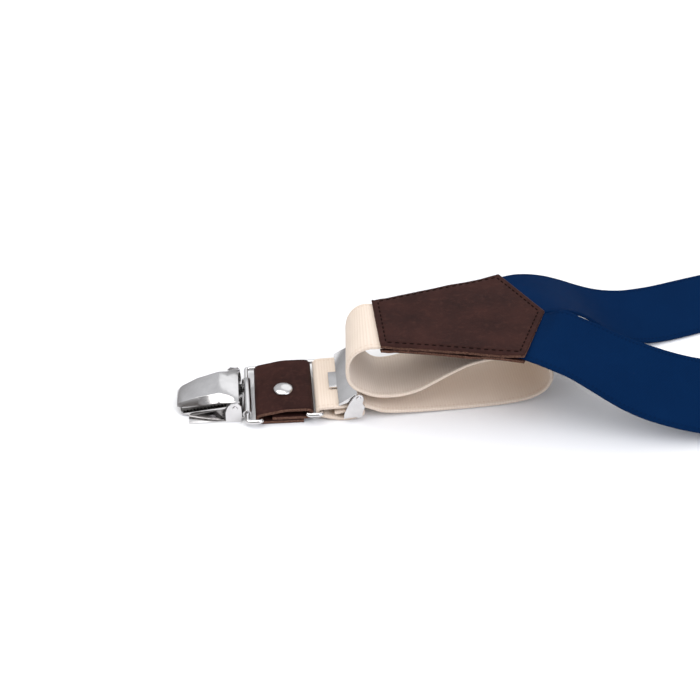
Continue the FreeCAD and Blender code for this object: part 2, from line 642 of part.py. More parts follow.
def make_clip_cover(end):
    """Pressed sheet cover: a wedge with sloping sides that rises from the nose, dips behind the
    crest and ends in two lugs that hang on the pin."""
    nose = nose_x()
    pin_x = clip_pin_x()
    pin_z = size("clip_pin_height")
    wall = size("cover_thick")
    # distance from the nose, half widths at the top and at the foot, heights of the top and foot
    sections = [(0.0, 4.6, 5.6, 4.9, 4.2), (2.2, 5.6, 7.2, 6.6, 4.5), (9.0, 6.6, 8.9, 9.7, 6.5),
                (18.5, 7.4, 10.9, 12.2, 9.4), (22.4, 8.2, 11.4, 11.4, 9.7), (26.8, 10.4, 11.7, 10.4, 9.7)]
    outer = Part.makeLoft([cover_section(nose + s[0], *s[1:], 0.0) for s in sections], True, True)
    hollow = [cover_section(nose + s[0], *s[1:], wall) for s in sections]
    front_wall = 0.9
    hollow[0].Placement = Placement(Vector(front_wall, 0, 0), Rotation())
    shell = outer.cut(Part.makeLoft(hollow, True, True))
    lug_y = 11.3
    lug_size, lug_thick, lug_drop = 4.0, 0.8, 1.7
    for side in (1, -1):
        corner = Vector(pin_x - lug_size / 2, side * lug_y - lug_thick / 2, pin_z - lug_drop)
        shell = shell.fuse(Part.makeBox(lug_size, lug_thick, lug_size, corner))
    bore = Part.makeCylinder(size("pin_radius") + size("pin_clearance"), 2 * FAR_OUT,
                             Vector(pin_x, -FAR_OUT, pin_z), Vector(0, 1, 0))
    cover = shell.cut(bore).removeSplitter()
    solid_feature(end + "_clip_cover", cover, end_placement(end, "clip"))


# ---------------------------------------------------------------- the whole model
make_straps()
make_junction()
for end_name in ENDS:
    make_ring(end_name, "strap_ring", 0.0, size("strap_ring_height"))
    make_tab(end_name)
    make_ring(end_name, "clip_ring", -size("ring_pitch") - size("tab_pitch"), size("clip_ring_height"))
    make_adjuster_frame(end_name)
    make_adjuster_flap(end_name)
    make_adjuster_pin(end_name)
    make_clip_base(end_name)
    make_clip_jaw(end_name)
    make_clip_grip(end_name)
    make_clip_cover(end_name)
    make_clip_pin(end_name)
doc.recompute()

# ---------------------------------------------------------------- checks
failed = [o.Label for o in doc.Objects if "Invalid" in o.State or "Error" in o.State]
if failed:
    raise RuntimeError("these objects failed: " + ", ".join(failed))
for piece in subparts:
    if piece.Shape.isNull() or not piece.Shape.isValid():
        raise RuntimeError("bad shape: " + piece.Label)

# the origin goes to the middle of the footprint, on the surface the suspenders lie on
reach = FreeCAD.BoundBox()
for piece in subparts:
    reach.add(piece.Shape.optimalBoundingBox())
origin = Vector(reach.Center.x, reach.Center.y, reach.ZMin)
for piece in subparts:
    home = Placement(Vector(0, 0, 0) - origin, Rotation())
    piece.Placement = home.multiply(piece.Placement)
doc.recompute()

for piece in subparts:
    piece.Shape.exportStep("parts/%s.step" % piece.Label)
    print("%-28s solids %d volume %8.1f" % (piece.Label, len(piece.Shape.Solids), piece.Shape.Volume))
print("origin in layout", origin, "size", reach.XLength, reach.YLength, reach.ZLength)
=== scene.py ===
"""The looks of the clip-on suspenders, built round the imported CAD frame.  Metres throughout."""

import json
import math

import bpy
import numpy as np
from mathutils import Matrix, Vector


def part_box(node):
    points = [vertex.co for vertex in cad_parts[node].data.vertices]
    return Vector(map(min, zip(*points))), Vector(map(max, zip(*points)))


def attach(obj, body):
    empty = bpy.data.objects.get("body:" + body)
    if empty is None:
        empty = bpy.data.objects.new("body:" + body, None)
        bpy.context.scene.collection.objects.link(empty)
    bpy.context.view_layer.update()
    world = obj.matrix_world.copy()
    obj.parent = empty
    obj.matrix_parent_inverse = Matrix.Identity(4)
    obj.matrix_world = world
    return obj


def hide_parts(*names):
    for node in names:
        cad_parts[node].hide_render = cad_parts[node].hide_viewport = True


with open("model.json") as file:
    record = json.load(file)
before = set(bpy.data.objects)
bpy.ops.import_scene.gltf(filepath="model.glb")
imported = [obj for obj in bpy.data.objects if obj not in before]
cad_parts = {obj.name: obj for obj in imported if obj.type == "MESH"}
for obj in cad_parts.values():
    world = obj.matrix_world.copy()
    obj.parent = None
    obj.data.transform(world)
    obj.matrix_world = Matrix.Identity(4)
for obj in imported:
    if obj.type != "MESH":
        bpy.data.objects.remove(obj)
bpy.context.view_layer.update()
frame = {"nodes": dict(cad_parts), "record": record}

MM = 0.001
UP = np.array([0.0, 0.0, 1.0])

# ---------------------------------------------------------------- sizes shared with the CAD model
STRAP_WIDTH = 34.6 * MM
STRAP_THICK = 1.4 * MM
BEND_GAP = 0.25 * MM
WIRE = 1.0 * MM
RING_PITCH = 6.4 * MM
RING_HALF_SPAN = 18.5 * MM
RING_CORNER = 1.6 * MM
STRAP_RING_Z = 5.0 * MM
CLIP_RING_Z = 3.0 * MM
LEATHER = 1.6 * MM
TAB_WIDTH = 34.4 * MM
TAB_PITCH = 19.5 * MM
RIVET_BACK = 16.2 * MM
RIVET_SIDE = -3.4 * MM
RIVET_SEAT = 7.7 * MM
ADJUSTER_BAR = (15.8 * MM, 3.9 * MM)
PATCH_NARROW = 36.5 * MM
PATCH_WIDE = 66.4 * MM
PATCH_SHOULDER = 58.4 * MM
PATCH_LENGTH = 73.0 * MM
PATCH_TILT = 0.8
PATCH_ROLL = 4.8
PATCH_TURN = 5.3
PATCH_AT = (11.1 * MM, 4.5 * MM, 39.8 * MM)

# ---------------------------------------------------------------- sizes of the finer shapes
RIB_PITCH = 1.2 * MM
TWILL_PITCH = 0.9 * MM
RIB_LIFT = 0.03 * MM
SQUEEZE = 0.74 * MM
SWELL = 0.18 * MM
RIM_FADE = 3.5
RIM_BEND = 1.5
STITCH_INSET = 2.5
STITCH_PITCH = 3.0 * MM
EDGE_ROLL = 0.14 * MM

ENDS = {
    "rear": {"at": (-13.2, 2.6), "turn": 4.0,
             "slid": {"strap_ring": 0.0, "tab": -0.3, "clip_ring": -0.5, "clip": -2.1}},
    "right": {"at": (640.0, -37.5), "turn": 177.0,
              "slid": {"strap_ring": 0.0, "tab": 0.0, "clip_ring": 0.0, "clip": 0.8}},
    "left": {"at": (590.0, 252.6), "turn": 203.5,
             "slid": {"strap_ring": 0.0, "tab": 0.0, "clip_ring": 0.0, "clip": -0.6}},
}

# Strap stations (x, y, z, heading, tilt) in millimetres and degrees, from the junction to the end.
# They are the CAD model's, but for the bottom of the rear loop, which sags and tilts a little more,
# and the start of the right front strap, which is a little higher.
REAR_STRAP = [
    (35.0, 6.5, 37.8, 185.3, 4.8), (23.1, 5.4, 37.6, 185.3, 4.8), (13.1, 4.5, 37.5, 185.3, 4.8),
    (6.8, 4.0, 37.6, 183.5, 4.2), (2.2, 3.7, 35.2, 182.5, 3.7), (-0.5, 3.4, 30.8, 182.0, 2.7),
    (-1.2, 3.4, 25.6, 182.0, 1.7), (-0.3, 3.4, 20.4, 182.0, 0.3), (3.6, 3.7, 15.9, 182.3, 0),
    (11.2, 4.4, 10.0, 183.0, -8.5), (20.0, 5.6, 9.4, 184.0, -8.5), (29.0, 7.2, 11.9, 185.0, -6.5),
    (39.5, 9.0, 20.0, 186.0, 0), (49.0, 10.8, 24.5, 187.0, 0), (59.0, 12.0, 26.9, 188.0, 0),
    (68.5, 13.0, 27.9, 188.0, 0), (77.0, 13.8, 26.2, 188.0, 0), (83.0, 14.4, 21.2, 188.0, 0),
    (85.2, 14.7, 14.6, 188.0, 0), (83.0, 14.5, 8.4, 188.0, 0), (77.0, 13.9, 4.2, 188.0, 0),
    (66.5, 12.8, 2.0, 188.0, 0), (50.0, 10.5, 1.5, 188.0, 0), (34.0, 8.1, 1.8, 187.0, 0),
    (21.5, 6.0, 2.7, 185.5, 0),
]
RIGHT_STRAP = [
    (69.7, -2.8, 39.3, -21.1, -4.4), (78.1, -6.0, 40.0, -21.1, -1.6), (86.5, -9.0, 40.8, -16.6, 8.0),
    (95.0, -11.3, 38.1, -13.4, 9.1), (103.1, -13.1, 34.5, -11, 13), (110.9, -14.5, 30.4, -8.9, 17),
    (118.9, -15.6, 26.5, -6.5, 22), (127.2, -16.3, 23.0, -3.6, 26), (135.9, -16.6, 19.9, 0, 27.7),
    (144.5, -16.3, 17.1, 2, 28.6), (153.5, -15.6, 14.6, 2, 28.6), (167.0, -15.1, 11.3, 1, 25),
    (185.0, -14.9, 7.2, 0, 17), (205.0, -15.2, 3.9, -2, 9), (230.0, -16.2, 1.7, -3, 3),
    (262.0, -17.8, 0.9, -3, 0), (320.0, -20.8, 0.75, -3, 0), (400.0, -25.0, 0.75, -3, 0),
    (480.0, -29.2, 0.75, -3, 0), (550.0, -32.9, 0.75, -3, 0), (588.0, -34.8, 0.95, -3, 0),
    (602.0, -35.5, 2.3, -3, 0),
]
LEFT_STRAP = [
    (67.4, 22.1, 37.2, 31.9, -4.4), (75.0, 26.9, 37.0, 31.9, -4.2), (82.4, 31.6, 35.0, 32.4, -2.3),
    (89.5, 36.0, 31.5, 30.7, -1), (96.3, 39.9, 27.0, 27.7, 0.2), (102.9, 43.1, 21.8, 24.4, 1.8),
    (109.5, 45.9, 16.3, 22, 4.3), (116.5, 48.6, 11.4, 20.7, 6.8), (124.1, 51.4, 7.6, 20, 8.8),
    (132.4, 54.5, 5.2, 20.4, 9), (140.7, 57.6, 4.1, 21, 8.9), (149.0, 60.8, 3.7, 22, 8),
    (157.4, 64.3, 3.5, 23, 7.5), (172.0, 70.7, 3.1, 23.5, 6), (196.0, 81.2, 2.1, 23.5, 3),
    (226.0, 94.3, 1.0, 23.5, 0), (290.0, 122.1, 0.75, 23.5, 0), (370.0, 156.9, 0.75, 23.5, 0),
    (450.0, 191.7, 0.75, 23.5, 0), (510.0, 217.8, 0.75, 23.5, 0), (542.5, 231.9, 0.95, 23.5, 0),
    (555.2, 237.5, 2.3, 23.5, 0),
]
STRAPS = {"rear": (REAR_STRAP, 184.0), "right": (RIGHT_STRAP, -3.0), "left": (LEFT_STRAP, 23.5)}


# ---------------------------------------------------------------- frames
def turn_z(degrees):
    return Matrix.Rotation(math.radians(degrees), 4, "Z")


def layout_end(end, piece=None):
    """Matrix of an end frame in the layout the straps are drawn in."""
    spec = ENDS[end]
    side = spec["slid"].get(piece, 0.0) * MM
    at = Matrix.Translation((spec["at"][0] * MM, spec["at"][1] * MM, 0))
    return at @ turn_z(spec["turn"]) @ Matrix.Translation((0, side, 0))


def layout_shift():
    """From the layout to the frame: found from where the rear rivet lies in both."""
    low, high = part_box("rear_rivet")
    there = (Vector(low) + Vector(high)) / 2
    here = layout_end("rear", "tab") @ Vector((-RIVET_BACK, RIVET_SIDE, 0))
    return Matrix.Translation((there.x - here.x, there.y - here.y, 0))


SHIFT = layout_shift()


def end_matrix(end, piece=None):
    return SHIFT @ layout_end(end, piece)


def patch_matrix():
    tilt = Matrix.Rotation(-math.radians(PATCH_TILT), 4, "Y")
    roll = Matrix.Rotation(-math.radians(PATCH_ROLL), 4, "X")
    return SHIFT @ Matrix.Translation(PATCH_AT) @ turn_z(PATCH_TURN) @ tilt @ roll


# ---------------------------------------------------------------- mesh helpers
def add_object(name, vertices, faces, material, smooth=True):
    mesh = bpy.data.meshes.new(name)
    mesh.from_pydata([tuple(v) for v in vertices], [], [tuple(f) for f in faces])
    mesh.validate()
    piece = bpy.data.objects.new(name, mesh)
    bpy.context.scene.collection.objects.link(piece)
    mesh.materials.append(material)
    mesh.polygons.foreach_set("use_smooth", [smooth] * len(mesh.polygons))
    return piece


def moved(points, matrix):
    table = np.array(matrix)
    return np.asarray(points) @ table[:3, :3].T + table[:3, 3]


def smooth_path(stations, spacing):
    """Catmull-Rom curve through the stations, read off at even steps of its length."""
    rows = np.array([stations[0]] + list(stations) + [stations[-1]], float)
    dense = []
    steps = 24
    for i in range(1, len(rows) - 2):
        a, b, c, d = rows[i - 1:i + 3]
        for k in range(steps):
            t = k / steps
            dense.append(0.5 * ((-t + 2 * t ** 2 - t ** 3) * a + (2 - 5 * t ** 2 + 3 * t ** 3) * b
                                + (t + 4 * t ** 2 - 3 * t ** 3) * c + (-t ** 2 + t ** 3) * d))
    dense.append(rows[-1])
    dense = np.array(dense)
    gaps = np.linalg.norm(np.diff(dense[:, :3], axis=0), axis=1)
    length = np.concatenate([[0], np.cumsum(gaps)])
    count = int(length[-1] / spacing) + 1
    at = np.linspace(0, length[-1], count)
    path = np.stack([np.interp(at, length, dense[:, k]) for k in range(dense.shape[1])], axis=1)
    return path, at


def band_frames(path):
    """Centre, across and face directions at every point of a band's path."""
    centre = path[:, :3]
    along = np.gradient(centre, axis=0)
    along /= np.linalg.norm(along, axis=1)[:, None]
    heading = np.radians(path[:, 3])
    tilt = np.radians(path[:, 4])
    level = np.stack([-np.sin(heading), np.cos(heading), np.zeros(len(path))], axis=1)
    upright = np.cross(along, level)
    upright /= np.linalg.norm(upright, axis=1)[:, None]
    across = level * np.cos(tilt)[:, None] + upright * np.sin(tilt)[:, None]
    face = np.cross(along, across)
    face /= np.linalg.norm(face, axis=1)[:, None]
    return centre, across, face


def band_piece(name, stations, width, thick, material, spacing, columns, relief=None, rim=0.35 * MM):
    """A band with rounded rims.  relief(along, sideways) lifts both skins, in metres."""
    path, at = smooth_path(stations, spacing)
    centre, across, face = band_frames(path)
    half = width / 2
    side = np.linspace(-half + rim, half - rim, columns)
    corner = np.radians([30, 60, 90])
    edge_side = half - rim + rim * np.sin(corner)
    edge_face = (thick / 2) * np.cos(corner)
    upper = list(zip(edge_side, edge_face))
    right = upper + [(s, -f) for s, f in upper[-2::-1]]
    left = [(-s, -f) for s, f in right]
    section = [(s, thick / 2) for s in side] + right + [(s, -thick / 2) for s in side[::-1]] + left
    section = np.array(section)
    count, ring = len(path), len(section)
    lift = np.zeros((count, ring))
    if relief is not None:
        lift = relief(at[:, None], section[None, :, 0]) * np.sign(section[None, :, 1])
        lift *= np.abs(section[None, :, 1]) > thick * 0.49
    grid = (centre[:, None, :] + across[:, None, :] * section[None, :, 0, None]
            + face[:, None, :] * (section[None, :, 1] + lift)[:, :, None])
    vertices = grid.reshape(-1, 3)
    index = np.arange(count * ring).reshape(count, ring)
    nxt = np.roll(index, -1, axis=1)
    quads = np.stack([index[:-1], nxt[:-1], nxt[1:], index[1:]], axis=-1).reshape(-1, 4)
    faces = quads.tolist()
    faces.append(index[0][::-1].tolist())
    faces.append(index[-1].tolist())
    piece = add_object(name, vertices, faces, material)
    layer = piece.data.uv_layers.new(name="band")
    uv = np.stack([np.repeat(at, ring), np.tile(section[:, 0], count)], axis=1)
    loops = np.zeros(len(piece.data.loops), int)
    piece.data.loops.foreach_get("vertex_index", loops)
    layer.data.foreach_set("uv", uv[loops].ravel())
    return piece, at[-1]


def arc(x, z, radius, first, last):
    steps = int(round(abs(last - first) / 45.0))
    angles = [math.radians(first + (last - first) * i / steps) for i in range(steps + 1)]
    return [(x + radius * math.cos(a), z + radius * math.sin(a)) for a in angles]


def wire_piece(name, path, radius, material, sides):
    """Round wire along a closed path of points."""
    path = np.asarray(path, float)
    count = len(path)
    along = np.roll(path, -1, axis=0) - np.roll(path, 1, axis=0)
    along /= np.linalg.norm(along, axis=1)[:, None]
    first = np.cross(along, UP)
    first /= np.linalg.norm(first, axis=1)[:, None]
    second = np.cross(along, first)
    angle = np.linspace(0, 2 * math.pi, sides, endpoint=False)
    grid = (path[:, None, :] + radius * (np.cos(angle)[None, :, None] * first[:, None, :]
                                         + np.sin(angle)[None, :, None] * second[:, None, :]))
    index = np.arange(count * sides).reshape(count, sides)
    nxt = np.roll(index, -1, axis=1)
    after = np.roll(index, -1, axis=0)
    quads = np.stack([index, nxt, np.roll(nxt, -1, axis=0), after], axis=-1).reshape(-1, 4)
    return add_object(name, grid.reshape(-1, 3), quads.tolist(), material)


# ---------------------------------------------------------------- materials
class Nodes:
    """Short helpers for building a material's node tree."""

    def __init__(self, name):
        self.material = bpy.data.materials.new(name)
        self.material.use_nodes = True
        self.tree = self.material.node_tree
        self.shader = self.tree.nodes["Principled BSDF"]

    def add(self, kind, **settings):
        node = self.tree.nodes.new(kind)
        for key, value in settings.items():
            setattr(node, key, value)
        return node

    def link(self, source, target):
        self.tree.links.new(source, target)

    def math(self, operation, first, second=None, third=None):
        node = self.tree.nodes.new("ShaderNodeMath")
        node.operation = operation
        for slot, value in enumerate((first, second, third)):
            if value is None:
                continue
            if isinstance(value, (int, float)):
                node.inputs[slot].default_value = value
            else:
                self.link(value, node.inputs[slot])
        return node.outputs[0]

    def noise(self, vector, scale, detail=4.0, rough=0.55):
        node = self.add("ShaderNodeTexNoise")
        node.inputs["Scale"].default_value = scale
        node.inputs["Detail"].default_value = detail
        node.inputs["Roughness"].default_value = rough
        self.link(vector, node.inputs["Vector"])
        return node.outputs["Fac"]

    def mix(self, factor, first, second):
        node = self.tree.nodes.new("ShaderNodeMix")
        node.data_type = "RGBA"
        self.link(factor, node.inputs[0])
        for slot, value in ((6, first), (7, second)):
            if isinstance(value, tuple):
                node.inputs[slot].default_value = (*value, 1.0)
            else:
                self.link(value, node.inputs[slot])
        return node.outputs[2]

    def ramp(self, value, low, high):
        node = self.tree.nodes.new("ShaderNodeMapRange")
        node.inputs["From Min"].default_value = low
        node.inputs["From Max"].default_value = high
        self.link(value, node.inputs["Value"])
        return node.outputs["Result"]

    def bump(self, height, distance, strength):
        node = self.add("ShaderNodeBump")
        node.inputs["Strength"].default_value = strength
        node.inputs["Distance"].default_value = distance
        self.link(height, node.inputs["Height"])
        return node.outputs["Normal"]


def elastic_material(name, thread, shade, rib_pitch, rib_depth, twill=0.0, sheen=0.1, shine=0.2):
    """Woven elastic: ribs across the band with painted shade in their troughs, fine warp threads along it
    and a corded selvedge.
    """
    n = Nodes(name)
    uv = n.add("ShaderNodeUVMap", uv_map="band").outputs["UV"]
    split = n.add("ShaderNodeSeparateXYZ")
    n.link(uv, split.inputs[0])
    along, side = split.outputs[0], split.outputs[1]
    coords = n.add("ShaderNodeTexCoord").outputs["Object"]
    wobble = n.math("MULTIPLY", n.noise(coords, 900.0), rib_pitch * 0.25)
    slant = n.math("MULTIPLY_ADD", side, twill, n.math("ADD", along, wobble))
    rib = n.math("SINE", n.math("MULTIPLY", slant, 2 * math.pi / rib_pitch))
    rib = n.math("MULTIPLY_ADD", rib, 0.5, 0.5)
    warp = n.math("SINE", n.math("MULTIPLY", side, 2 * math.pi / (0.55 * MM)))
    warp = n.math("MULTIPLY_ADD", warp, 0.5, 0.5)
    from_middle = n.math("ABSOLUTE", side)
    half = STRAP_WIDTH / 2
    rim = n.ramp(from_middle, half - 2.2 * MM, half - 1.7 * MM)
    patch = n.ramp(n.noise(coords, 60.0, 3.0), 0.3, 0.75)
    fuzz = n.noise(coords, 4200.0, 3.0, 0.7)
    # The rib troughs are painted darker, towards the shade colour: painted shade in the recesses between
    # ribs, on top of the bump.
    colour = n.mix(n.math("MULTIPLY", n.math("SUBTRACT", 1.0, rib), 0.26), thread, shade)
    colour = n.mix(n.math("MULTIPLY", n.math("MULTIPLY", warp, fuzz), 0.6), colour, shade)
    colour = n.mix(n.math("MULTIPLY", patch, 0.18), colour, shade)
    dash = n.math("SINE", n.math("MULTIPLY", along, 2 * math.pi / (1.9 * MM)))
    row_near = n.ramp(from_middle, half - 2.3 * MM, half - 2.1 * MM)
    row_far = n.ramp(from_middle, half - 1.3 * MM, half - 1.5 * MM)
    stitch = n.math("MULTIPLY", n.math("MULTIPLY", row_near, row_far), n.ramp(dash, -0.2, 0.5))
    colour = n.mix(n.math("MULTIPLY", stitch, 0.45), colour, shade)
    colour = n.mix(n.math("MULTIPLY", rim, 0.12), colour, shade)
    n.link(colour, n.shader.inputs["Base Color"])
    height = n.math("MULTIPLY_ADD", rib, 0.6, n.math("MULTIPLY", warp, 0.25))
    height = n.math("MULTIPLY_ADD", fuzz, 0.35, height)
    n.link(n.bump(height, rib_depth, 0.9), n.shader.inputs["Normal"])
    n.shader.inputs["Roughness"].default_value = 0.86
    n.shader.inputs["Specular IOR Level"].default_value = shine
    n.shader.inputs["Sheen Weight"].default_value = sheen
    n.shader.inputs["Sheen Roughness"].default_value = 0.5
    return n.material


def leather_material(name, cut_edge=False):
    """Waxed brown pull-up leather; its cut edges are rough and paler."""
    n = Nodes(name)
    coords = n.add("ShaderNodeTexCoord").outputs["Object"]
    cloud = n.ramp(n.noise(coords, 55.0, 5.0, 0.6), 0.32, 0.7)
    scuff = n.ramp(n.noise(coords, 330.0, 6.0, 0.72), 0.5, 0.78)
    colour = n.mix(cloud, (0.021, 0.0078, 0.0066), (0.042, 0.0160, 0.0130))
    colour = n.mix(n.math("MULTIPLY", scuff, 0.4), colour, (0.085, 0.035, 0.026))
    if cut_edge:
        fibre = n.noise(coords, 2600.0, 5.0, 0.75)
        colour = n.mix(n.ramp(fibre, 0.38, 0.68), (0.035, 0.015, 0.011), (0.26, 0.14, 0.10))
        n.link(n.bump(fibre, 0.3 * MM, 1.0), n.shader.inputs["Normal"])
        n.shader.inputs["Roughness"].default_value = 0.9
    else:
        grain = n.add("ShaderNodeTexVoronoi", feature="DISTANCE_TO_EDGE")
        grain.inputs["Scale"].default_value = 1300.0
        n.link(coords, grain.inputs["Vector"])
        pores = n.ramp(grain.outputs["Distance"], 0.0, 0.22)
        crease = n.noise(coords, 420.0, 6.0, 0.65)
        height = n.math("MULTIPLY_ADD", pores, 0.25, crease)
        n.link(n.bump(height, 0.12 * MM, 0.6), n.shader.inputs["Normal"])
        rough = n.math("MULTIPLY_ADD", cloud, 0.12, 0.44)
        n.link(rough, n.shader.inputs["Roughness"])
    n.link(colour, n.shader.inputs["Base Color"])
    n.shader.inputs["Specular IOR Level"].default_value = 0.03 if cut_edge else 0.05
    return n.material


def metal_material(name, colour, rough):
    """Plated metal, very slightly mottled."""
    n = Nodes(name)
    coords = n.add("ShaderNodeTexCoord").outputs["Object"]
    mottle = n.noise(coords, 180.0, 4.0, 0.6)
    fine = n.noise(coords, 2400.0, 3.0, 0.6)
    n.link(n.math("MULTIPLY_ADD", mottle, 0.10, rough), n.shader.inputs["Roughness"])
    tint = n.mix(n.ramp(mottle, 0.35, 0.7), colour, tuple(0.9 * c for c in colour))
    n.link(tint, n.shader.inputs["Base Color"])
    n.link(n.bump(fine, 0.01 * MM, 0.35), n.shader.inputs["Normal"])
    n.shader.inputs["Metallic"].default_value = 1.0
    return n.material


def thread_material():
    """Dark twisted sewing thread."""
    n = Nodes("dark_thread")
    coords = n.add("ShaderNodeTexCoord").outputs["Object"]
    twist = n.noise(coords, 3000.0, 3.0, 0.7)
    n.link(n.mix(twist, (0.004, 0.002, 0.002), (0.02, 0.010, 0.008)), n.shader.inputs["Base Color"])
    n.link(n.bump(twist, 0.08 * MM, 0.8), n.shader.inputs["Normal"])
    n.shader.inputs["Roughness"].default_value = 0.85
    n.shader.inputs["Specular IOR Level"].default_value = 0.03
    return n.material


CREAM = elastic_material("cream_elastic", (0.80, 0.70, 0.60), (0.62, 0.48, 0.37), RIB_PITCH, 0.08 * MM)
NAVY = elastic_material("navy_elastic", (0.0016, 0.0185, 0.070), (0.0005, 0.0065, 0.028),
                        TWILL_PITCH, 0.10 * MM, twill=0.8, sheen=0.0, shine=0.03)
HIDE = leather_material("brown_leather")
HIDE_EDGE = leather_material("brown_leather_cut_edge", cut_edge=True)
NICKEL = metal_material("nickel", (0.69, 0.675, 0.67), 0.09)
# Nickel painted nearly black for the clip's toothed grip: painted shade where the grip sits in the
# shadowed gap between the jaws.
GRIP_SHADE_METAL = metal_material("nickel_painted_dark_as_shade", (0.10, 0.095, 0.09), 0.30)
THREAD = thread_material()


# ---------------------------------------------------------------- straps
def end_strap_stations(end, heading):
    """The strap's way through its end: over the adjuster's bar, round the ring, back under, round the
    bar and in again.  Seen from the side as (x, z) in metres."""
    fold = WIRE + BEND_GAP + STRAP_THICK / 2
    bar_x, bar_z = ADJUSTER_BAR
    side_view = [(0.027, 0.004), (0.0225, 0.0057), (0.0187, 0.0073), (bar_x, 0.00775),
                 (0.010, 0.00745), (0.005, 0.00725)]
    side_view += arc(0.0, STRAP_RING_Z, fold, 90, 270)
    side_view += [(0.0045, 0.0016), (0.0085, 0.0009), (0.0118, 0.0009)]
    side_view += arc(bar_x, bar_z, fold, -90, 90)
    side_view += [(0.0124, 0.00545), (0.009, 0.00475), (0.0055, 0.0042)]
    place = end_matrix(end)
    return [(*(place @ Vector((x, 0, z))), heading, 0.0) for x, z in side_view]


def strap_stations(end):
    """All stations of a strap, in metres, from the junction to the tucked-in end."""
    stations, heading = STRAPS[end]
    run = []
    for x, y, z, turn, tilt in stations:
        place = SHIFT @ Vector((x * MM, y * MM, z * MM))
        run.append((*place, turn, tilt))
    return run + end_strap_stations(end, heading)


def cream_relief(along, side):
    """Cross ribs between two smooth selvedges."""
    rim = np.abs(side) > STRAP_WIDTH / 2 - 1.9 * MM
    rib = RIB_LIFT * np.sin(2 * math.pi * along / RIB_PITCH) * np.ones_like(side)
    return np.where(rim, RIB_LIFT, rib)


def navy_relief(along, side):
    """Smooth, with slightly raised selvedges."""
    rim = np.abs(side) > STRAP_WIDTH / 2 - 1.6 * MM
    return np.where(rim, RIB_LIFT, 0.0) * np.ones_like(along)


def make_straps():
    columns = 26
    looks = {
        "rear": ("rear_strap", CREAM, 0.24 * MM, cream_relief, "cream_elastic"),
        "right": ("right_front_strap", NAVY, 0.8 * MM, navy_relief, "navy_elastic"),
        "left": ("left_front_strap", NAVY, 0.8 * MM, navy_relief, "navy_elastic"),
    }
    for end, (node, material, spacing, relief, slot) in looks.items():
        piece, length = band_piece(node + "_band", strap_stations(end), STRAP_WIDTH, STRAP_THICK,
                                   material, spacing, columns, relief)
        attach(piece, "straps")
        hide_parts(node)


# ---------------------------------------------------------------- leather junction
def patch_corners(inset=0.0):
    """The pentagon's corners moved in by the inset, square to each side."""
    raw = [Vector((0, -PATCH_NARROW / 2)), Vector((PATCH_SHOULDER, -PATCH_WIDE / 2)),
           Vector((PATCH_LENGTH, 0)), Vector((PATCH_SHOULDER, PATCH_WIDE / 2)),
           Vector((0, PATCH_NARROW / 2))]
    result = []
    for i, corner in enumerate(raw):
        before = (corner - raw[i - 1]).normalized()
        after = (raw[(i + 1) % 5] - corner).normalized()
        inward_a = Vector((-before.y, before.x))
        inward_b = Vector((-after.y, after.x))
        bisector = (inward_a + inward_b).normalized()
        result.append(corner + bisector * (inset / max(bisector.dot(inward_a), 0.2)))
    return result


def outline_points(inset, spacing=0.55 * MM):
    """Points all round the pentagon, drawn in by the inset, and the side that each is on.
    Each side has as many points as it has with no inset, so that outlines join up."""
    outer = patch_corners()
    inner = patch_corners(inset)
    points, sides, shares = [], [], []
    for i in range(5):
        following = (i + 1) % 5
        steps = int((outer[following] - outer[i]).length / spacing)
        for k in range(steps):
            points.append(inner[i].lerp(inner[following], k / steps))
            sides.append(i)
            shares.append(k / steps)
    return np.array([[p.x, p.y] for p in points]), np.array(sides), np.array(shares)


def pinch_profile(sides, shares):
    """How far the layers are pressed together along the two long sides, where no strap lies
    between them: 0 to 1."""
    rising = np.where(sides == 0, shares, 1 - shares)
    at_rear = np.clip(rising / 0.1, 0.6, 1)
    at_shoulder = np.clip((1 - rising) / 0.16, 0, 1)
    gape = 0.45 * np.exp(-((rising - 0.6) / 0.09) ** 2)
    return np.where((sides == 0) | (sides == 3), at_rear * at_shoulder * (1 - gape), 0.0)


def near_rim(inset):
    """1 at the rim of a leather layer, 0 further in than it bends; the inset is in millimetres."""
    return max(0.0, 1 - inset / RIM_FADE)


def leather_swell(x, y):
    """Slow waves of the junction's surfaces."""
    return SWELL * np.sin(x * 95 + 3) * np.sin(y * 120 + 1.0)


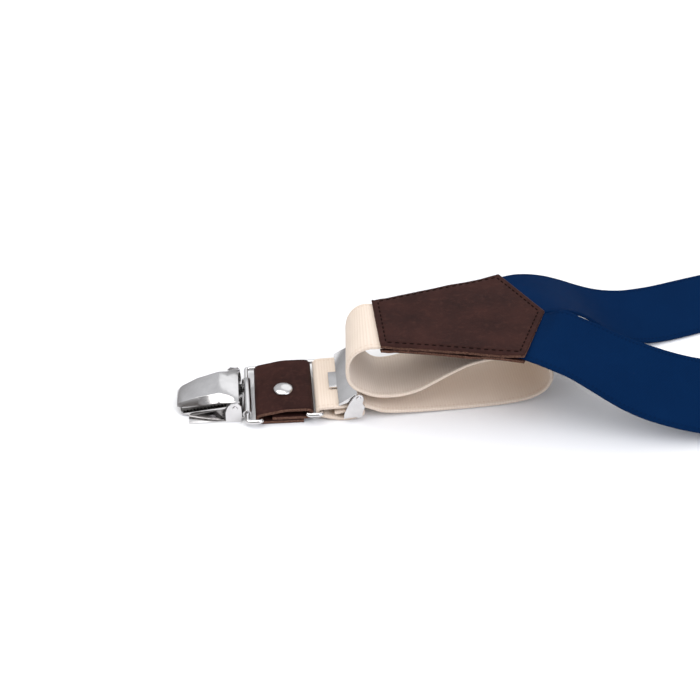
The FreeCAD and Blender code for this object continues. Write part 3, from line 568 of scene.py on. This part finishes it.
def patch_layer(name, top, bottom, seed, squeeze):
    """One leather layer: rings from the middle out to the rim, round its cut edge and back
    underneath.  The squeeze lifts or lowers its long rims towards the other layer."""
    rng = np.random.default_rng(seed)
    base, sides, shares = outline_points(0.0)
    count = len(base)
    pinch = pinch_profile(sides, shares) * squeeze
    gap = np.roll(base, -1, axis=0) - np.roll(base, 1, axis=0)
    inward = np.stack([-gap[:, 1], gap[:, 0]], axis=1)
    inward /= np.linalg.norm(inward, axis=1)[:, None]
    wave = np.cumsum(rng.normal(0, 1, count))
    wave -= np.linspace(wave[0], wave[-1], count)
    wave *= 0.22 * MM / np.abs(wave).max()

    def ring(inset, height, ragged=0.0):
        place = outline_points(inset * MM)[0]
        jag = np.abs(rng.normal(0, 1, count)) * ragged * MM
        place = place + inward * (wave * near_rim(inset) + jag)[:, None]
        lift = pinch * near_rim(inset) ** RIM_BEND
        return np.column_stack([place, height + lift])

    def flat_rings(height):
        first = ring(6.0, height)
        middle = np.array([PATCH_LENGTH * 0.47, 0.0])
        inner = []
        for share in (0.12, 0.3, 0.5, 0.7, 0.88):
            place = middle + (first[:, :2] - middle) * share
            inner.append(np.column_stack([place, np.full(count, height)]))
        return inner, first, np.array([[middle[0], middle[1], height]])

    inner, first, centre = flat_rings(top)
    rows = inner + [first]
    seam_groove = ((3.0, 0.0), (2.75, -0.10), (2.25, -0.10), (2.0, 0.0))
    rounded_rim = ((1.0, 0.0), (0.4, -0.05), (0.12, -0.22))
    for inset, drop in ((4.2, 0.0), *seam_groove, *rounded_rim):
        rows.append(ring(inset, top + drop * MM))
    edge_from = len(rows) - 1
    for share in (0.22, 0.4, 0.58, 0.76):
        rows.append(ring(0.0, top + (bottom - top) * share, ragged=0.3))
    edge_to = len(rows)
    rows += [ring(0.12, bottom + 0.18 * MM), ring(0.7, bottom), ring(3.5, bottom)]
    under_inner, under_first, under_centre = flat_rings(bottom)
    rows += [under_first] + under_inner[::-1]
    table = np.concatenate([centre] + rows + [under_centre])
    table[:, 2] += leather_swell(table[:, 0], table[:, 1])
    faces, kinds = [], []
    for k in range(count):
        faces.append((0, 1 + k, 1 + (k + 1) % count))
        kinds.append(0)
    for r in range(len(rows) - 1):
        for k in range(count):
            a = 1 + r * count + k
            b = 1 + r * count + (k + 1) % count
            faces.append((a, a + count, b + count, b))
            kinds.append(1 if edge_from <= r < edge_to else 0)
    last = 1 + (len(rows) - 1) * count
    for k in range(count):
        faces.append((last + (k + 1) % count, last + k, len(table) - 1))
        kinds.append(0)
    piece = add_object(name, moved(table, patch_matrix()), faces, HIDE)
    piece.data.materials.append(HIDE_EDGE)
    piece.data.polygons.foreach_set("material_index", kinds)
    return piece


def make_core():
    """The filler between the sewn-in strap ends: a scrap of leather with ragged sides."""
    rng = np.random.default_rng(5)
    start, finish = 24.8 * MM, 48.4 * MM
    inset = 3.4 * MM
    flare = (PATCH_WIDE - PATCH_NARROW) / 2 / PATCH_SHOULDER
    steps = 40
    rows = []
    for k in range(steps + 1):
        u = start + (finish - start) * k / steps
        half = PATCH_NARROW / 2 + flare * u - inset
        near = -half + rng.normal(0, 0.12 * MM)
        far = half + rng.normal(0, 0.12 * MM)
        low = -LEATHER - STRAP_THICK + 0.05 * MM
        high = -LEATHER - 0.05 * MM
        middle = (low + high) / 2
        rows.append([(u, near, low), (u, near - 0.2 * MM, middle), (u, near, high),
                     (u, far, high), (u, far + 0.2 * MM, middle), (u, far, low)])
    vertices = np.array(rows).reshape(-1, 3)
    faces = []
    for k in range(steps):
        for s in range(6):
            a = k * 6 + s
            b = k * 6 + (s + 1) % 6
            faces.append((a, a + 6, b + 6, b))
    faces.append(tuple(range(6)))
    faces.append(tuple(steps * 6 + s for s in range(6))[::-1])
    piece = add_object("junction_core", moved(vertices, patch_matrix()), faces, HIDE_EDGE, smooth=False)
    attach(piece, "straps")
    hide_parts("junction_filler")


def make_stitches():
    """A row of thread stitches all round the patch, just inside its rim."""
    corners = patch_corners(STITCH_INSET * MM)
    long_axis, radius, dip = 1.05 * MM, 0.27 * MM, 0.22 * MM
    rings, sides = 7, 8
    vertices, faces = [], []
    for i, corner in enumerate(corners):
        following = corners[(i + 1) % 5]
        run = following - corner
        count = int(run.length / STITCH_PITCH)
        heading = run.normalized()
        square = Vector((-heading.y, heading.x))
        shares = (np.arange(count) + 0.5) / count
        pinch = pinch_profile(np.full(count, i), shares)
        sunk = pinch * -SQUEEZE * near_rim(STITCH_INSET) ** RIM_BEND
        for k in range(count):
            centre = corner + run * shares[k]
            level = sunk[k] + leather_swell(centre.x, centre.y)
            start = len(vertices)
            for r in range(rings):
                t = -1 + 2 * r / (rings - 1)
                thick = radius * math.sqrt(max(1 - t ** 4, 0.02))
                drop = -dip * t ** 4
                for s in range(sides):
                    a = 2 * math.pi * s / sides
                    flat = centre + heading * (t * long_axis) + square * (thick * math.cos(a))
                    vertices.append((flat.x, flat.y, level + drop + thick * math.sin(a)))
            for r in range(rings - 1):
                for s in range(sides):
                    a = start + r * sides + s
                    b = start + r * sides + (s + 1) % sides
                    faces.append((a, b, b + sides, a + sides))
            faces.append(tuple(start + s for s in range(sides))[::-1])
            faces.append(tuple(start + (rings - 1) * sides + s for s in range(sides)))
    piece = add_object("junction_stitching", moved(np.array(vertices), patch_matrix()), faces, THREAD)
    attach(piece, "straps")


def make_junction():
    under = -LEATHER - STRAP_THICK
    front = patch_layer("junction_front_patch", 0.0, -LEATHER, 3, -SQUEEZE)
    back = patch_layer("junction_back_patch", under, under - LEATHER, 8, SQUEEZE)
    for piece, node in ((front, "junction_front_leather"), (back, "junction_back_leather")):
        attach(piece, "straps")
        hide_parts(node)
    make_core()
    make_stitches()


# ---------------------------------------------------------------- rings, tabs and rivets
def make_ring(end, node, bar_x, height):
    """A rectangular wire ring lying level, with its right-hand bar at bar_x."""
    corner = RING_CORNER
    span = RING_HALF_SPAN
    left = -RING_PITCH
    path = []
    corners = (((-corner, span - corner), 0), ((left + corner, span - corner), 90),
               ((left + corner, -span + corner), 180), ((-corner, -span + corner), 270))
    steps = 8
    for (cx, cy), start in corners:
        for k in range(steps + 1):
            a = math.radians(start + 90 * k / steps)
            path.append((cx + corner * math.cos(a) + bar_x, cy + corner * math.sin(a), height))
    path = moved(path, end_matrix(end, node))
    piece = wire_piece("%s_%s_wire" % (end, node), path, WIRE, NICKEL, sides=18)
    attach(piece, "%s_%s" % (end, node))
    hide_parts("%s_%s" % (end, node))


def make_tab(end):
    """The leather strip: from inside, round the strap ring, over the top, round the clip ring and back
    underneath."""
    fold = WIRE + BEND_GAP + LEATHER / 2
    right_x = -RING_PITCH
    left_x = right_x - TAB_PITCH
    side_view = [(left_x + 4.4 * MM, 2.95 * MM), (-RIVET_BACK, 2.95 * MM),
                 (right_x - 4 * MM, STRAP_RING_Z - fold)]
    side_view += arc(right_x, STRAP_RING_Z, fold, -90, 90)
    side_view += [(right_x - 4.6 * MM, STRAP_RING_Z + fold + 0.1 * MM), (-RIVET_BACK, 7.0 * MM),
                  (left_x + 4.6 * MM, 6.0 * MM)]
    side_view += arc(left_x, CLIP_RING_Z, fold, 90, 270)
    low = CLIP_RING_Z - fold
    side_view += [(left_x + 6 * MM, low), (-RIVET_BACK, low), (right_x - 1.5 * MM, low)]
    turn = ENDS[end]["turn"]
    place = end_matrix(end, "tab")
    stations = [(*(place @ Vector((x, 0, z))), turn, 0.0) for x, z in side_view]
    rng = np.random.default_rng(21)
    phase_along, phase_side = rng.uniform(0, 6.28, 2)

    def relief(along, side):
        return 0.06 * MM * (np.sin(along * 260 + phase_along) * np.cos(side * 190 + phase_side))

    piece, length = band_piece(end + "_tab_leather", stations, TAB_WIDTH, LEATHER, HIDE, 0.35 * MM, 24,
                               relief, rim=0.3 * MM)
    piece.data.materials.append(HIDE_EDGE)
    rim_from = TAB_WIDTH / 2 - 0.28 * MM
    kinds = []
    for polygon in piece.data.polygons:
        sides = [abs(piece.data.uv_layers[0].data[i].uv[1]) for i in polygon.loop_indices]
        cut = min(sides) > rim_from or len(sides) > 4
        kinds.append(1 if cut else 0)
    piece.data.polygons.foreach_set("material_index", kinds)
    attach(piece, end + "_leather_tab")
    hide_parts(end + "_leather_tab")
    make_rivet(end)


def make_rivet(end):
    """Turned from an outline of (radius, height) in metres: foot, stem and domed cap."""
    seat = RIVET_SEAT
    cap, rise = 4.2 * MM, 1.3 * MM
    outline = [(0.0, 0.0001), (0.0032, 0.0001), (0.0032, 0.0006), (0.0016, 0.0006),
               (0.0016, seat + 0.00005), (cap - 0.0002, seat + 0.00005), (cap, seat + 0.0002),
               (cap, seat + 0.0004)]
    for a in range(10, 91, 10):
        outline.append((cap * math.cos(math.radians(a)), seat + 0.0004 + rise * math.sin(math.radians(a))))
    sides = 48
    vertices, faces = [], []
    for r, z in outline:
        for s in range(sides):
            a = 2 * math.pi * s / sides
            vertices.append((r * math.cos(a) - RIVET_BACK, r * math.sin(a) + RIVET_SIDE, z))
    for k in range(len(outline) - 1):
        for s in range(sides):
            a = k * sides + s
            b = k * sides + (s + 1) % sides
            faces.append((a, b, b + sides, a + sides))
    piece = add_object(end + "_rivet_cap", moved(vertices, end_matrix(end, "tab")), faces, NICKEL)
    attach(piece, end + "_leather_tab")
    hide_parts(end + "_rivet")


# ---------------------------------------------------------------- pressed metal parts
def make_plated(node, material):
    """A copy of a CAD part whose edges are rolled over, as pressed and plated metal is."""
    source = frame["nodes"][node]
    mesh = source.data.copy()
    piece = bpy.data.objects.new(node + "_plated", mesh)
    bpy.context.scene.collection.objects.link(piece)
    piece.matrix_world = source.matrix_world.copy()
    mesh.materials.clear()
    mesh.materials.append(material)
    weld = piece.modifiers.new("weld", "WELD")
    weld.merge_threshold = 0.002 * MM
    flat = piece.modifiers.new("flat", "DECIMATE")
    flat.decimate_type = "DISSOLVE"
    flat.angle_limit = math.radians(2.0)
    bevel = piece.modifiers.new("bevel", "BEVEL")
    bevel.width = EDGE_ROLL
    bevel.segments = 2
    bevel.limit_method = "ANGLE"
    bevel.angle_limit = math.radians(35)
    bevel.use_clamp_overlap = True
    graph = bpy.context.evaluated_depsgraph_get()
    made = bpy.data.meshes.new_from_object(piece.evaluated_get(graph))
    piece.modifiers.clear()
    piece.data = made
    made.polygons.foreach_set("use_smooth", [True] * len(made.polygons))
    made.set_sharp_from_angle(angle=math.radians(40))
    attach(piece, body_of(node))
    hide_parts(node)


def body_of(node):
    for body, nodes in frame["record"]["behaviour"]["bodies"].items():
        if node in nodes:
            return body
    raise ValueError(node)


def make_hardware():
    for end in ENDS:
        make_ring(end, "strap_ring", 0.0, STRAP_RING_Z)
        make_ring(end, "clip_ring", -RING_PITCH - TAB_PITCH, CLIP_RING_Z)
        make_tab(end)
        for part in ("adjuster_frame", "adjuster_flap", "adjuster_pin", "clip_base", "clip_jaw",
                     "clip_grip", "clip_cover", "clip_pin"):
            # The toothed grip gets the nickel painted dark as shade.
            make_plated("%s_%s" % (end, part), GRIP_SHADE_METAL if part == "clip_grip" else NICKEL)


# ---------------------------------------------------------------- stage
def make_stage():
    floor_mesh = bpy.data.meshes.new("floor")
    reach = 14.0
    corners = [(-reach, -reach, 0), (reach, -reach, 0), (reach, reach, 0), (-reach, reach, 0)]
    floor_mesh.from_pydata(corners, [], [(0, 1, 2, 3)])
    floor = bpy.data.objects.new("floor", floor_mesh)
    bpy.context.scene.collection.objects.link(floor)
    paper = Nodes("white_sweep")
    paper.shader.inputs["Base Color"].default_value = (0.93, 0.93, 0.935, 1)
    paper.shader.inputs["Roughness"].default_value = 0.65
    paper.shader.inputs["Specular IOR Level"].default_value = 0.2
    floor_mesh.materials.append(paper.material)

    make_world()
    area_light("key", (-0.40, -0.15, 1.15), (0.05, 0.0, 0.0), 1.6, 11.5, (1.0, 0.985, 0.97))
    area_light("back", (0.35, 1.1, 0.9), (0.1, 0.05, 0.0), 1.2, 2.0, (0.97, 0.985, 1.0))
    area_light("fill", (0.75, -0.70, 0.75), (0.0, 0.0, 0.02), 1.0, 9.0, (0.86, 0.90, 1.0))


def make_world():
    """Soft light from above and behind; lower down on the camera's side it is dimmer."""
    bright_towards = (-0.15, 0.30, 0.94)
    dim, bright = (0.22, 0.205, 0.20, 1), (0.98, 1.0, 1.04, 1)
    world = bpy.data.worlds.new("studio")
    bpy.context.scene.world = world
    world.use_nodes = True
    tree = world.node_tree
    backdrop = tree.nodes["Background"]
    towards = tree.nodes.new("ShaderNodeTexCoord")
    facing = tree.nodes.new("ShaderNodeVectorMath")
    facing.operation = "DOT_PRODUCT"
    facing.inputs[1].default_value = bright_towards
    tree.links.new(towards.outputs["Generated"], facing.inputs[0])
    spread = tree.nodes.new("ShaderNodeMapRange")
    spread.interpolation_type = "SMOOTHSTEP"
    spread.inputs["From Min"].default_value = 0.0
    spread.inputs["From Max"].default_value = 0.9
    tree.links.new(facing.outputs["Value"], spread.inputs["Value"])
    blend = tree.nodes.new("ShaderNodeMix")
    blend.data_type = "RGBA"
    blend.inputs[6].default_value = dim
    blend.inputs[7].default_value = bright
    tree.links.new(spread.outputs["Result"], blend.inputs[0])
    tree.links.new(blend.outputs[2], backdrop.inputs["Color"])
    backdrop.inputs["Strength"].default_value = 0.75


def area_light(name, place, target, extent, power, colour):
    """A round soft light at place, facing the target; both in the layout."""
    light = bpy.data.lights.new(name, "AREA")
    light.shape = "DISK"
    light.size = extent
    light.energy = power
    light.color = colour
    lamp = bpy.data.objects.new(name, light)
    bpy.context.scene.collection.objects.link(lamp)
    spot = SHIFT @ Vector(place)
    lamp.location = spot
    lamp.rotation_euler = (SHIFT @ Vector(target) - spot).to_track_quat("-Z", "Y").to_euler()


def make_camera():
    """Looks along +Y and down on the leather junction from the photographer's height."""
    elevation = math.radians(38.0)
    distance = 0.748
    aim_drop = 0.022
    forward = Vector((0, math.cos(elevation), -math.sin(elevation)))
    upward = Vector((0, math.sin(elevation), math.cos(elevation)))
    data = bpy.data.cameras.new("camera")
    data.sensor_width = 36.0
    data.lens = 87.43
    data.clip_start = 0.01
    data.clip_end = 50.0
    camera = bpy.data.objects.new("camera", data)
    bpy.context.scene.collection.objects.link(camera)
    camera.location = SHIFT @ (upward * aim_drop - forward * distance)
    camera.rotation_euler = (math.pi / 2 - elevation, 0, 0)
    bpy.context.scene.camera = camera


make_camera()
make_stage()
make_straps()
make_junction()
make_hardware()
bpy.context.scene.view_settings.view_transform = "Standard"
